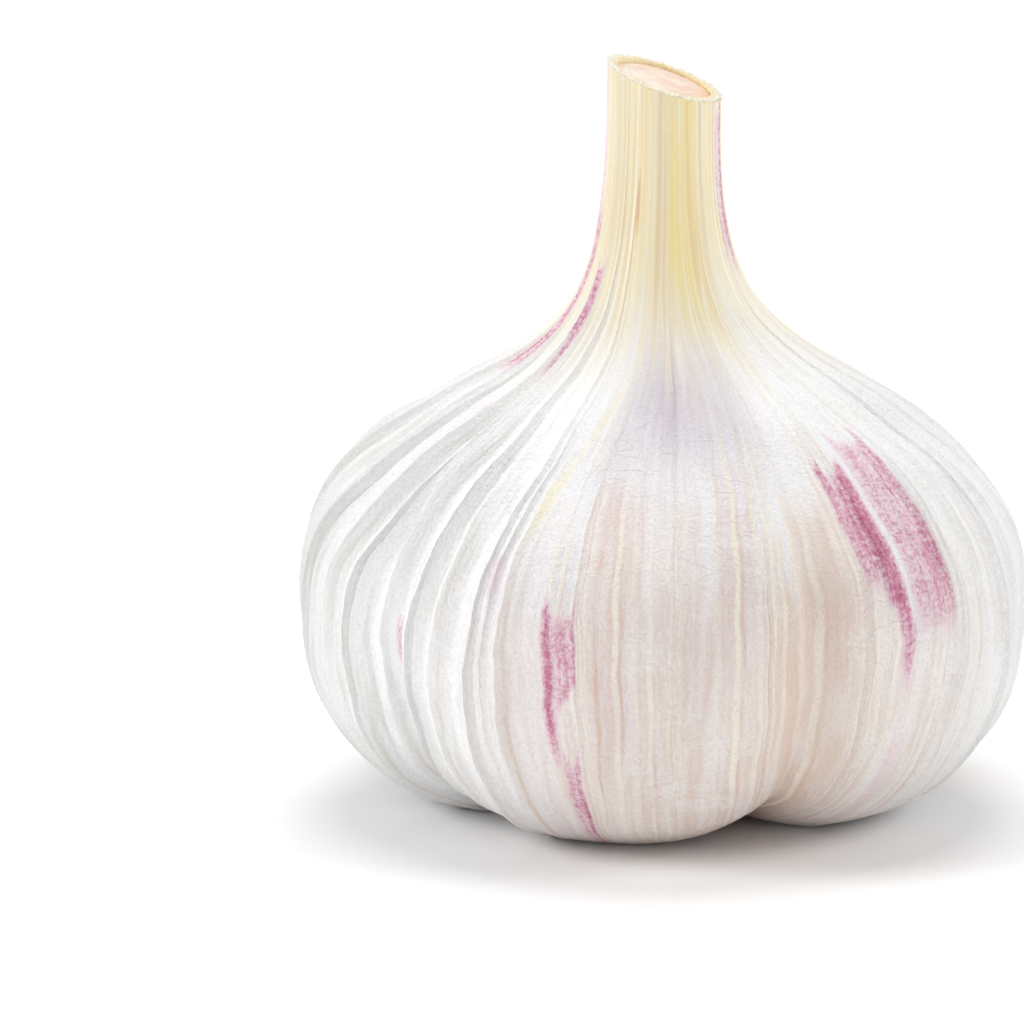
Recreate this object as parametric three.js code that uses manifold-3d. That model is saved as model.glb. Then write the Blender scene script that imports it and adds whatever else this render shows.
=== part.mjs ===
// A whole garlic bulb, standing upright on the cloves that swell its papery skin.
//
// The wrapper leaves cover the cloves, gather into pleats over the shoulder and close round the flower
// stalk as a neck, which was cut off at a slant. Underneath, the cork root plate sits in a hollow between
// the cloves, with the trimmed stubs of its roots standing out round its edge.
//
// Millimetres, +Z up. The origin is on the surface that the bulb stands on, below the middle of its width.
// The front of the bulb is -Y, and azimuths count anticlockwise from +X.

import * as THREE from "three";
import { mergeVertices } from "three/addons/utils/BufferGeometryUtils.js";
import Module from "manifold-3d";

const wasm = await Module();
wasm.setup();

// Driving dimensions.
const GIRTH_RADIUS = 32.6; // the bulb at its widest, over the cloves
const GIRTH_HEIGHT = 17.8;
const NECK_RADIUS = 5.1;
const NECK_HEIGHT = 65.7; // of the slanted cut, on the axis
const FOOT_RADIUS = 15; // where the cloves meet the surface
const HOLLOW_RADIUS = 8.3; // the hollow round the root plate
const HOLLOW_HEIGHT = 3.6;
const BASE_SHIFT = 0.3; // the cloves and the root plate sit this far to the right of the neck
const CLEARANCE = 0.3; // between pieces that touch

// The cut across the neck falls to the right and a little towards the front.
const CUT_FALL_RIGHT = 0.32;
const CUT_FALL_FRONT = 0.13;

// Cloves: the azimuths of the clefts between them, in degrees, and how rounded each back is.
const CLEFTS = [-142, -66, 16, 68, 113, 164];
const CLOVE_ROUNDNESS = 3.1;

// Pleats of the skin. They run from the root plate up to the cut.
const PLEATS = 72;
const PLEAT_HEIGHT = 0.62;
const ROWS = 29;

// Flower stalk, seen in the cut, and the socket that the neck makes round it.
const STALK_RADIUS = 3.9;
const STALK_SUNK = 0.6; // below the rim of the neck
const SOCKET_DEPTH = 14;

// Root plate, with two staggered rings of root stubs.
const PLATE_RADIUS = 6.9;
const PLATE_BOTTOM = 0.9;
const STUBS_PER_RING = 24;
const STUB_RADIUS = 0.42;
const STUB_LENGTH = 1.5;

const TURN = 2 * Math.PI;

// One side of the bulb without its clefts and pleats, as radius and height, from the hollow to the cut.
const OUTLINE = new THREE.SplineCurve(
  [
    [HOLLOW_RADIUS, HOLLOW_HEIGHT],
    [9.4, 1.9],
    [11.7, 0.6],
    [FOOT_RADIUS, -0.35],
    [20.2, 0.4],
    [26.4, 3.5],
    [30.8, 9.4],
    [GIRTH_RADIUS, GIRTH_HEIGHT],
    [31.6, 25.4],
    [27.1, 31.9],
    [20.3, 37],
    [13.1, 41.2],
    [8.9, 45],
    [6.65, 49.4],
    [5.55, 54.6],
    [NECK_RADIUS + 0.05, 59.8],
    [NECK_RADIUS, NECK_HEIGHT],
  ].map(([radius, height]) => new THREE.Vector2(radius, height)),
);
OUTLINE.arcLengthDivisions = 800;
const OUTLINE_LENGTH = OUTLINE.getLength();

// A value that eases from point to point of a list of [distance, value].
function along(points, distance) {
  if (distance <= points[0][0]) return points[0][1];
  for (let i = 1; i < points.length; i++) {
    const [from, low] = points[i - 1];
    const [to, high] = points[i];
    if (distance < to)
      return low + (high - low) * THREE.MathUtils.smoothstep(distance, from, to);
  }
  return points.at(-1)[1];
}

// How far a cleft pulls the skin in, and how strong the pleats are, by distance along the outline.
const CLEFT_DEPTH = [[0, 0], [4, 1.6], [11, 3.5], [26, 2.7], [46, 1.5], [64, 0.4], [78, 0]];
const PLEAT_STRENGTH = [[0, 0], [10, 0.35], [34, 0.8], [52, 1], [66, 0.5], [78, 0.24], [97, 0.22]];

// How far the middle of each ring stands to the right of the neck.
const SHIFT = [[0, BASE_SHIFT], [50, BASE_SHIFT], [66, 0.55], [80, 0]];

// Uneven spacing and height of the pleats, the same on every run.
function pleatAzimuth(i) {
  const n = i % PLEATS;
  const uneven = 0.28 * Math.sin(1.9 * n) + 0.17 * Math.sin(4.3 * n + 1);
  return ((n + uneven) / PLEATS + Math.floor(i / PLEATS)) * TURN;
}

// The pleats are strongest on the two flanks, and flatter on the front and the back.
function pleatStrength(i) {
  const n = i % PLEATS;
  const uneven = 0.6 + 0.28 * Math.sin(2.7 * n) + 0.12 * Math.sin(6.1 * n + 2);
  return uneven * (0.6 + 0.4 * Math.abs(Math.cos(pleatAzimuth(i))));
}

// Between two pleats the skin sags: a share of 0 or 1 is on a crest, and 0.5 is midway.
function pleatRelief(i, share) {
  return (
    pleatStrength(i) * (1 - share) ** 3 + pleatStrength(i + 1) * share ** 3
  );
}

// The pleats wander a little on their way up.
function wander(azimuth, distance) {
  return (
    0.022 * Math.sin(3 * azimuth + 0.07 * distance) +
    0.01 * Math.sin(8 * azimuth - 0.13 * distance + 1)
  );
}

// 0 along the back of a clove and 1 in the cleft beside it.
function cleftShare(azimuth) {
  const degrees = THREE.MathUtils.radToDeg(azimuth);
  const first = CLEFTS[0];
  const turned = first + THREE.MathUtils.euclideanModulo(degrees - first, 360);
  const edges = [...CLEFTS, first + 360];
  const k = edges.findLastIndex((edge) => edge <= turned);
  const middle = (edges[k] + edges[k + 1]) / 2;
  const half = (edges[k + 1] - edges[k]) / 2;
  return Math.abs((turned - middle) / half) ** CLOVE_ROUNDNESS;
}

function cutHeight(x, y) {
  return NECK_HEIGHT - CUT_FALL_RIGHT * x + CUT_FALL_FRONT * y;
}

// A point of the skin, by the pleat it belongs to and how far up the outline it lies.
function skinPoint(pleat, share, distance) {
  const from = pleatAzimuth(pleat);
  const to = pleatAzimuth(pleat + 1);
  const straight = from + (to - from) * share;
  const azimuth = straight + wander(straight, distance);
  const u = distance / OUTLINE_LENGTH;
  const spot = OUTLINE.getPointAt(u);
  const way = OUTLINE.getTangentAt(u);
  const raised =
    PLEAT_HEIGHT * along(PLEAT_STRENGTH, distance) * pleatRelief(pleat, share) -
    along(CLEFT_DEPTH, distance) * cleftShare(azimuth);
  const radius = spot.x + way.y * raised;
  const height = spot.y - way.x * raised;
  const x = radius * Math.cos(azimuth) + along(SHIFT, distance);
  const y = radius * Math.sin(azimuth);
  // The last stretch of the neck is stretched or shortened to end in the slanted cut.
  const nearCut = THREE.MathUtils.smoothstep(height, 48, NECK_HEIGHT);
  const cut = nearCut * (cutHeight(x, y) - NECK_HEIGHT);
  return new THREE.Vector3(x, y, Math.max(height + cut, 0));
}

// A closed mesh from rings of points, each with as many points as the next, between two end points.
function closedRings(rings, bottom, top) {
  const columns = rings[0].length;
  const points = [bottom, ...rings.flat(), top];
  const last = points.length - 1;
  const at = (row, column) => 1 + row * columns + (column % columns);
  const faces = [];
  for (let c = 0; c < columns; c++) {
    faces.push(0, at(0, c + 1), at(0, c));
    for (let r = 0; r + 1 < rings.length; r++) {
      faces.push(at(r, c), at(r, c + 1), at(r + 1, c + 1));
      faces.push(at(r, c), at(r + 1, c + 1), at(r + 1, c));
    }
    faces.push(at(rings.length - 1, c), at(rings.length - 1, c + 1), last);
  }
  const geometry = new THREE.BufferGeometry().setFromPoints(points);
  geometry.setIndex(faces);
  geometry.computeVertexNormals();
  return geometry;
}

function wrappedBulb() {
  const columns = Array.from({ length: 2 * PLEATS }, (_, c) => [
    Math.floor(c / 2),
    (c % 2) / 2,
  ]);
  const rings = Array.from({ length: ROWS }, (_, row) => {
    const distance = (row / (ROWS - 1)) * OUTLINE_LENGTH;
    return columns.map(([pleat, share]) => skinPoint(pleat, share, distance));
  });
  // The rim turns in to the socket, which is plain and round.
  const socketRadius = STALK_RADIUS + CLEARANCE;
  const socketFloor = NECK_HEIGHT - SOCKET_DEPTH;
  const mouth = rings.at(-1).map((point) => {
    const inward = socketRadius / Math.hypot(point.x, point.y);
    const x = point.x * inward;
    const y = point.y * inward;
    return new THREE.Vector3(x, y, cutHeight(x, y));
  });
  const floor = mouth.map((p) => new THREE.Vector3(p.x, p.y, socketFloor));
  return closedRings(
    [...rings, mouth, floor],
    new THREE.Vector3(BASE_SHIFT, 0, HOLLOW_HEIGHT),
    new THREE.Vector3(0, 0, socketFloor),
  );
}

function flowerStalk() {
  const sides = 40;
  const foot = NECK_HEIGHT - SOCKET_DEPTH + CLEARANCE;
  const ring = (radius, height) =>
    Array.from({ length: sides }, (_, i) => {
      const x = radius * Math.cos((i / sides) * TURN);
      const y = radius * Math.sin((i / sides) * TURN);
      return new THREE.Vector3(x, y, height(x, y));
    });
  const top = (x, y) => cutHeight(x, y) - STALK_SUNK;
  // The pith stands a little proud in the middle of the cut.
  const pithRadius = 0.55 * STALK_RADIUS;
  const pithRise = 0.15;
  return closedRings(
    [
      ring(STALK_RADIUS, () => foot),
      ring(STALK_RADIUS, top),
      ring(pithRadius, (x, y) => top(x, y) + pithRise),
    ],
    new THREE.Vector3(0, 0, foot),
    new THREE.Vector3(0, 0, top(0, 0) + pithRise),
  );
}

function solidOf(geometry) {
  const bare = geometry.clone().deleteAttribute("normal").deleteAttribute("uv");
  const merged = mergeVertices(bare, 1e-4);
  return new wasm.Manifold(
    new wasm.Mesh({
      numProp: 3,
      vertProperties: merged.attributes.position.array,
      triVerts: new Uint32Array(merged.index.array),
    }),
  );
}

function geometryOf(solid) {
  const mesh = solid.getMesh();
  const positions = new THREE.BufferAttribute(mesh.vertProperties, 3);
  const geometry = new THREE.BufferGeometry().setAttribute("position", positions);
  geometry.setIndex(new THREE.BufferAttribute(mesh.triVerts, 1));
  geometry.computeVertexNormals();
  return geometry;
}

// A root cut off short: a tapered peg that leans down and outwards from the plate.
function rootStub(azimuth, height, lean) {
  const peg = new THREE.CylinderGeometry(0.7 * STUB_RADIUS, STUB_RADIUS, STUB_LENGTH, 5);
  peg.translate(0, STUB_LENGTH / 2, 0);
  peg.rotateZ(-Math.PI / 2 - lean); // now along +X, dipping below the horizontal
  peg.translate(PLATE_RADIUS - 0.75, 0, height);
  peg.rotateZ(azimuth);
  return peg;
}

function rootPlate() {
  const top = HOLLOW_HEIGHT - CLEARANCE;
  const disc = new THREE.LatheGeometry(
    [
      [0, PLATE_BOTTOM + 0.25],
      [3.6, PLATE_BOTTOM + 0.15],
      [PLATE_RADIUS - 1, PLATE_BOTTOM],
      [PLATE_RADIUS - 0.3, PLATE_BOTTOM + 0.35],
      [PLATE_RADIUS, PLATE_BOTTOM + 1.2],
      [PLATE_RADIUS - 0.4, top],
      [0, top],
    ].map(([radius, height]) => new THREE.Vector2(radius, height)),
    36,
  ).rotateX(Math.PI / 2);
  let solid = solidOf(disc);
  for (let i = 0; i < 2 * STUBS_PER_RING; i++) {
    const upper = i % 2;
    const azimuth = ((i + 0.3 * Math.sin(3.7 * i)) / (2 * STUBS_PER_RING)) * TURN;
    const height = PLATE_BOTTOM + (upper ? 1.45 : 0.7) + 0.12 * Math.sin(5.3 * i);
    const lean = upper ? 0.05 : 0.3;
    solid = solid.add(solidOf(rootStub(azimuth, height, lean)));
  }
  return geometryOf(solid);
}

const skin = new THREE.MeshStandardMaterial({ color: 0xeee8e2, roughness: 0.55 });
const stalkFlesh = new THREE.MeshStandardMaterial({ color: 0xf0dcc8, roughness: 0.6 });
const cork = new THREE.MeshStandardMaterial({ color: 0xd0a477, roughness: 0.9 });

function piece(name, geometry, material) {
  const mesh = new THREE.Mesh(geometry, material);
  mesh.name = name;
  return mesh;
}

const plant = new THREE.Group();
plant.add(
  piece("wrapped_bulb", wrappedBulb(), skin),
  piece("flower_stalk", flowerStalk(), stalkFlesh),
  piece("root_plate", rootPlate().translate(BASE_SHIFT, 0, 0), cork),
);

// The cloves are uneven, so the plant is set over the middle of its own width.
const middle = new THREE.Box3().setFromObject(plant).getCenter(new THREE.Vector3());
plant.position.set(-middle.x, -middle.y, 0);

const bulb = new THREE.Group();
bulb.add(plant);

export default bulb;
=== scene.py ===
# %% [markdown]
# # A garlic bulb, dressed for its picture
#
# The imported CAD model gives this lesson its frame: a bulb in its papery skin, the flower stalk that shows in
# the cut neck, and the corky root plate underneath. Each piece here is laid over one of those solids with the
# fine relief and the colours of the real thing. Every length is worked out in millimetres and turned into
# metres only when a mesh is made.

# %% The frame
import math

import bpy
import numpy as np
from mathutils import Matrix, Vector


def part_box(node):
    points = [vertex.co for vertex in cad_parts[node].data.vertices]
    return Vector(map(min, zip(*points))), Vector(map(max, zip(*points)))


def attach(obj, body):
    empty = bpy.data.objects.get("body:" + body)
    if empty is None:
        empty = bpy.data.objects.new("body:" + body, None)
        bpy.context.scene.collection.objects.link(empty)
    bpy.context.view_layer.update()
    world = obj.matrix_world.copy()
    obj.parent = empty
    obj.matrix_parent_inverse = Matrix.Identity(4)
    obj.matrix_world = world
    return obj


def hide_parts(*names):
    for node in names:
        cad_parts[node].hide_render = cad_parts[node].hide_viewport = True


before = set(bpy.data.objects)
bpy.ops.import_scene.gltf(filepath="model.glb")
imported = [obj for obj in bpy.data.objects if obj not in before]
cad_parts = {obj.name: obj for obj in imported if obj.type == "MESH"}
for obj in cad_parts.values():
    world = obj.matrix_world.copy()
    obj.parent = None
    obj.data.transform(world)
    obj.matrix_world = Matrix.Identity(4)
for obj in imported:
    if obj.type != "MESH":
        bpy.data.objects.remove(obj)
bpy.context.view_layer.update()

MM = 0.001
TURN = 2 * math.pi


def in_mm(corner):
    return np.array(corner) / MM


def vectors(x, y, z):
    """Rows and columns of three numbers, from values that may run along only one of the two."""
    return np.stack(np.broadcast_arrays(x, y, z), -1)


stalk_low, stalk_high = map(in_mm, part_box("flower_stalk"))
plate_low, plate_high = map(in_mm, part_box("root_plate"))
bulb_low, bulb_high = map(in_mm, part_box("wrapped_bulb"))
AXIS = (stalk_low + stalk_high)[:2] / 2
print("CAD nodes:", sorted(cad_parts))
print("bulb, mm:", (bulb_high - bulb_low).round(1), "neck axis at", AXIS.round(2))

# %% [markdown]
# ## One side of the bulb
#
# A bulb is nearly round, so its form starts as a single line from the hollow round the roots, out over the
# cloves, in over the shoulder and up the neck. It could be drawn by hand as a curve object. A smooth curve
# through a few measured points does the same in code, and measuring along it gives every place on the skin a
# distance from the root, which the pleats and the colours use later.

# %% The outline
NECK_HEIGHT = 65.7
NECK_RADIUS = 5.1
OUTLINE = [
    (8.3, 3.6), (9.4, 1.9), (11.7, 0.6), (15, -0.35), (20.2, 0.4), (26.4, 3.5),
    (30.8, 9.4), (32.6, 17.8), (31.6, 25.4), (27.1, 31.9), (20.3, 37), (13.1, 41.2),
    (8.9, 45), (6.65, 49.4), (5.55, 54.6), (5.15, 59.8), (NECK_RADIUS, NECK_HEIGHT),
]  # radius and height


def spline(points, steps=60):
    """Points along a smooth curve that goes through all the given ones."""
    given = np.array(points, float)
    padded = np.vstack([given[:1], given, given[-1:]])
    t = np.linspace(0, 1, steps, endpoint=False)[:, None]
    spans = [
        b + 0.5 * t * (c - a + t * (2 * a - 5 * b + 4 * c - d + t * (3 * (b - c) + d - a)))
        for a, b, c, d in zip(padded, padded[1:], padded[2:], padded[3:])
    ]
    return np.vstack(spans + [given[-1:]])


line = spline(OUTLINE)
line_distance = np.r_[0, np.cumsum(np.linalg.norm(np.diff(line, axis=0), axis=1))]
line_way = np.gradient(line, line_distance, axis=0)
LENGTH = line_distance[-1]
print(f"the outline is {LENGTH:.1f} mm long")


def on_line(values, distance):
    return np.interp(distance, line_distance, values)


def along(points, distance):
    """A value that eases from point to point of a list of (distance, value)."""
    value = np.full(np.shape(distance), float(points[0][1]))
    for (start, low), (end, high) in zip(points, points[1:]):
        t = np.clip((distance - start) / (end - start), 0, 1)
        value = value + (high - low) * t * t * (3 - 2 * t)
    return value


# %% [markdown]
# ## Cloves
#
# The cloves push the skin outwards and leave a cleft between each two. Every clove could be a solid of its
# own under a wrapper sheet, but only the wrapper is ever seen, so the clefts are pressed into it: deep where
# the cloves are round, and gone by the time that the skin has closed round the neck.

# %% Clefts between the cloves
CLEFTS = np.array([-142, -66, 16, 68, 113, 164, 218])  # azimuths in degrees; the last is the first again
CLOVE_ROUNDNESS = 3.1
CLEFT_DEPTH = [(0, 0), (4, 1.6), (11, 3.5), (26, 2.7), (46, 1.5), (64, 0.4), (78, 0)]
SHIFT = [(0, 0.3), (50, 0.3), (66, 0.55), (80, 0)]  # of each ring, to the right of the neck


def cleft_share(azimuth):
    """0 along the back of a clove and 1 in the cleft beside it."""
    turned = CLEFTS[0] + np.mod(np.degrees(azimuth) - CLEFTS[0], 360)
    k = np.clip(np.searchsorted(CLEFTS, turned, side="right") - 1, 0, len(CLEFTS) - 2)
    middle = (CLEFTS[k] + CLEFTS[k + 1]) / 2
    half = (CLEFTS[k + 1] - CLEFTS[k]) / 2
    return np.abs((turned - middle) / half) ** CLOVE_ROUNDNESS


# %% [markdown]
# ## Pleats
#
# A wrapper leaf is wide over the cloves and narrow at the neck, so it gathers into pleats, which all run from
# the root to the cut. A noise displacement would give bumps with no direction. Counting the pleats instead,
# and letting a place on the skin be "so many pleats round and so far up", keeps each crest in one line from
# end to end. Each panel between two crests sags and carries a few fine ribs. On the flanks the pleats stand
# up as folds with a lit and a shaded face, and lap over their neighbours like roof tiles.

# %% Pleats of the skin
PLEATS = 72
PLEAT_HEIGHT = 0.05
PLEAT_STRENGTH = [(0, 0), (10, 0.35), (34, 0.8), (52, 1), (66, 0.5), (78, 0.12), (97, 0.03)]
FOLD_HEIGHT = 0.95
LAP_HEIGHT = 0.38
LAP_STRENGTH = [(0, 0), (14, 0.3), (30, 0.9), (56, 1), (72, 0.4), (80, 0.04), (97, 0)]
RIBS_PER_PLEAT = 3
RIB_HEIGHT = 0.035
RIB_SPREAD = [(0, 0.3), (20, 0.8), (55, 1), (74, 0.25), (97, 0.12)]
SWELL_HEIGHT = 0.3
GATHER_LEFT, GATHER_RIGHT = 0.24, 0.07
WEAK_CREST = -0.15


def boldness(pleat):
    """How much stronger or weaker than the rest a crest is."""
    return 0.2 * np.sin(2.7 * pleat) + 0.1 * np.sin(6.1 * pleat + 2)


# Only the stronger crests are the edge of a fold, so a fold is one or two pleats wide.
crests = np.arange(PLEATS)
edges = crests[boldness(crests) > WEAK_CREST]
edges = np.r_[edges, edges[0] + PLEATS]
fold = np.searchsorted(edges, np.where(crests < edges[0], crests + PLEATS, crests), side="right") - 1
FOLD_START, FOLD_WIDTH = edges[fold], (edges[fold + 1] - edges[fold])
print(len(edges) - 1, "folds, up to", FOLD_WIDTH.max(), "pleats wide")


def pleat_azimuth(pleat):
    n = np.mod(pleat, PLEATS)
    uneven = 0.28 * np.sin(1.9 * n) + 0.17 * np.sin(4.3 * n + 1)
    return ((n + uneven) / PLEATS + np.floor(pleat / PLEATS)) * TURN


def eased(value, start, end):
    t = np.clip((value - start) / (end - start), 0, 1)
    return t * t * (3 - 2 * t)


def fold_share(azimuth):
    """How far a pleat stands up as a fold: wholly on the left flank, hardly at all in front."""
    side, behind = np.cos(azimuth), np.sin(azimuth)
    left, right = eased(-side, 0.26, 0.62), eased(side, 0.2, 0.8)
    return 0.02 + 0.98 * left + 0.4 * right + 0.3 * np.clip(behind, 0, 1)


def pleat_strength(pleat, distance):
    n = np.mod(pleat, PLEATS)
    return (0.72 + boldness(n)) * (0.9 + 0.35 * np.sin(0.1 * distance + 2.4 * n))


def valley_place(azimuth):
    """Where the valley of a panel runs: a fold leans to its own side."""
    return 0.5 - 0.1 * np.cos(azimuth)


def crest_share(share, azimuth):
    """What each crest adds to a panel: two flat faces on a fold, two thin ridges on a flat front."""
    power = 1.15 + 1.6 * (1 - np.clip(fold_share(azimuth), 0, 1))
    valley = valley_place(azimuth)
    from_before = np.clip(1 - share / valley, 0, 1)
    from_after = np.clip(1 - (1 - share) / (1 - valley), 0, 1)
    return from_before**power, from_after**power


def ruffle(pleat, distance):
    """The small zigzags of a creased edge, as a part of a turn."""
    n = np.mod(pleat, PLEATS)
    return 0.003 * np.sin(0.8 * distance + 5.1 * n) + 0.002 * np.sin(2.1 * distance + 3.7 * n)


def rib_strength(rib):
    n = np.mod(rib, PLEATS * RIBS_PER_PLEAT)
    return np.clip(0.5 + 0.5 * np.sin(5.1 * n) + 0.25 * np.sin(11.3 * n), 0, 1.2)


def wander(azimuth, distance):
    """How far a pleat strays round the bulb: it snakes a little, and is drawn to the front going up."""
    snaking = 0.022 * np.sin(3 * azimuth + 0.07 * distance) + 0.01 * np.sin(8 * azimuth - 0.13 * distance + 1)
    side = np.cos(azimuth)
    drawn = GATHER_LEFT * np.clip(-side, 0, 1) - GATHER_RIGHT * np.clip(side, 0, 1)
    return snaking + drawn * eased(distance, 32, 64)


def cut_height(x, y):
    """Height of the slanted cut, by the distance right of and behind the neck's axis."""
    return NECK_HEIGHT - 0.32 * x + 0.13 * y


def skin_point(place, distance, lift=0.0):
    """Where the skin is, in mm, so many pleats round and so far along the outline."""
    pleat = np.floor(place)
    share = place - pleat
    crest, after = (pleat_azimuth(n) + ruffle(n, distance) for n in (pleat, pleat + 1))
    straight = crest + (after - crest) * share
    azimuth = straight + wander(straight, distance)
    before, following = crest_share(share, azimuth)
    sag = pleat_strength(pleat, distance) * before + pleat_strength(pleat + 1, distance) * following
    sag = (PLEAT_HEIGHT + FOLD_HEIGHT * fold_share(azimuth)) * (sag - 0.25 * fold_share(azimuth))
    rib = np.floor(place * RIBS_PER_PLEAT)
    over = place * RIBS_PER_PLEAT - rib
    ribs = rib_strength(rib) * (1 - over) ** 2 + rib_strength(rib + 1) * over**2
    n = np.mod(pleat, PLEATS).astype(int)
    lapped = np.mod(n - FOLD_START[n], PLEATS) + share
    side = np.cos(azimuth)
    lap = (lapped / FOLD_WIDTH[n] - 0.5) * (0.7 + 0.3 * np.sin(3.3 * FOLD_START[n]))
    lap = lap * side * eased(np.abs(side), 0.15, 0.5)
    swell = np.sin(5 * azimuth + 0.16 * distance) * np.sin(0.21 * distance + 2 * azimuth)
    raised = (
        along(PLEAT_STRENGTH, distance) * sag
        + LAP_HEIGHT * along(LAP_STRENGTH, distance) * lap
        + RIB_HEIGHT * along(RIB_SPREAD, distance) * ribs
        + SWELL_HEIGHT * along(LAP_STRENGTH, distance) * swell
        - along(CLEFT_DEPTH, distance) * cleft_share(azimuth)
        + lift
    )
    way_out, way_up = on_line(line_way[:, 0], distance), on_line(line_way[:, 1], distance)
    radius = on_line(line[:, 0], distance) + way_up * raised
    height = on_line(line[:, 1], distance) - way_out * raised
    x = radius * np.cos(azimuth) + along(SHIFT, distance)
    y = radius * np.sin(azimuth)
    near_cut = along([(48, 0), (NECK_HEIGHT, 1)], height)
    height = height + near_cut * (cut_height(x, y) - NECK_HEIGHT)
    return vectors(x + AXIS[0], y + AXIS[1], np.maximum(height, lift))


# %% [markdown]
# ## From numbers to a mesh
#
# Skin, rim, stalk and root plate are all bands that run right round the bulb. So one helper takes a grid of
# points, rows by columns, joins the last column to the first, and keeps any numbers that the material will
# want to know at each point.

# %% Helpers that make meshes
def new_piece(name, points, faces, finish_values=None):
    mesh = bpy.data.meshes.new(name)
    mesh.from_pydata(np.asarray(points) * MM, [], faces)
    mesh.polygons.foreach_set("use_smooth", np.ones(len(mesh.polygons), bool))
    for key, values in (finish_values or {}).items():
        layer = mesh.attributes.new(key, "FLOAT_VECTOR", "POINT")
        layer.data.foreach_set("vector", np.ascontiguousarray(values, np.float32).ravel())
    mesh.update()
    piece = bpy.data.objects.new(name, mesh)
    bpy.context.scene.collection.objects.link(piece)
    return piece


def ring_faces(rows, columns, first=0):
    """Four-sided faces between rings of points, each ring closed on itself."""
    row, column = np.mgrid[0 : rows - 1, 0:columns]
    here, beside = row * columns + column, row * columns + (column + 1) % columns
    corners = [here, beside, beside + columns, here + columns]
    return (np.stack(corners, -1).reshape(-1, 4) + first).tolist()


def band(name, grid, finish_values=None):
    rows, columns = grid.shape[:2]
    return new_piece(name, grid.reshape(-1, 3), ring_faces(rows, columns), finish_values)


def count(piece):
    piece.data.calc_loop_triangles()
    return len(piece.data.loop_triangles)


# %% The papery skin
# Where in a pleat the mesh has its columns: closer together near the crests.
SHARES = [0, 0.025, 0.07, 0.14, 0.23, 0.33, 0.4, 0.5, 0.6, 0.67, 0.77, 0.86, 0.93, 0.975]
SKIN_ROWS = 96
TUCK = [(6.2, 3.55), (7.4, 3.58)]  # radius and height of two rings hidden above the root plate

columns = (np.arange(PLEATS)[:, None] + SHARES).ravel()
distances = np.linspace(0, LENGTH, SKIN_ROWS)
place, distance = np.meshgrid(columns, distances)
skin_grid = skin_point(place, distance)

# The rim was torn a little by the knife.
rim_tear = 0.1 * np.sin(23 * columns * TURN / PLEATS) * np.sin(61 * columns * TURN / PLEATS + 1)
skin_grid[-1, :, 2] += rim_tear

foot_x = AXIS[0] + SHIFT[0][1]
azimuths = np.arctan2(skin_grid[0, :, 1] - AXIS[1], skin_grid[0, :, 0] - foot_x)
tucked = [
    vectors(foot_x + radius * np.cos(azimuths), AXIS[1] + radius * np.sin(azimuths), height)
    for radius, height in TUCK
]
grain_turn = place * TURN / PLEATS
skin_place = vectors(np.cos(grain_turn), np.sin(grain_turn), distance)


def with_tuck(values):
    return np.concatenate([values[:1], values[:1], values])


# %% [markdown]
# ## Marks on the skin
#
# The leaf's pigment lies in a few panels and stops at their veins, darkest along one side and ragged at both
# ends. The same leaf is stretched thin and warm over the front clove. These marks are broad, so the mesh can
# carry them: each is a soft box from one pleat to another and from one height to another, and the material
# later breaks its edges up with fibres. The mesh also carries painted shade: on the faces of the folds that
# turn from the side lamps, on the left side of the neck, and as part of the violet grey on the upper front.

# %% Marks on the skin
def mound(value, middle, width):
    """1 at middle, easing to 0 at width either side. Pleats are counted round, so it wraps."""
    return 1 - eased(np.abs(np.mod(value - middle + PLEATS / 2, PLEATS) - PLEATS / 2), 0, width)


def streak(left, right, foot, head, fill, left_edge=0.0, right_edge=0.0, tail=0.0, lean=0.0):
    """Pigment between two pleats and two heights, with more along its edges.

    It narrows downwards by tail, on the left if that is above 0, and leans to the right below by lean.
    """
    climb = (distance - foot) / (head - foot)
    across = (place - left - lean * np.clip(1 - climb, 0, 1) ** 2) / (right - left)
    inset = abs(tail) * (1 - eased(climb, 0.35, 0.6))
    soft = min(0.15 / (right - left), 0.4)
    from_left = across - inset * (tail > 0)
    from_right = 1 - across - inset * (tail < 0)
    left_soft, right_soft = soft + 0.5 * inset * (tail > 0), soft + 0.5 * inset * (tail < 0)
    inside = eased(from_left + soft / 2, 0, left_soft) * eased(from_right + soft / 2, 0, right_soft)
    horns = 0.12 * (2 * np.clip(across, 0, 1) - 1) ** 4
    ends = eased(climb, 0, 0.35) * (1 - eased(climb - horns, 0.84, 0.92))
    edges = left_edge * (1 - eased(from_left, 0.04, 0.3)) + right_edge * (1 - eased(from_right, 0.08, 0.42))
    return inside * ends * (fill + edges)


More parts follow.
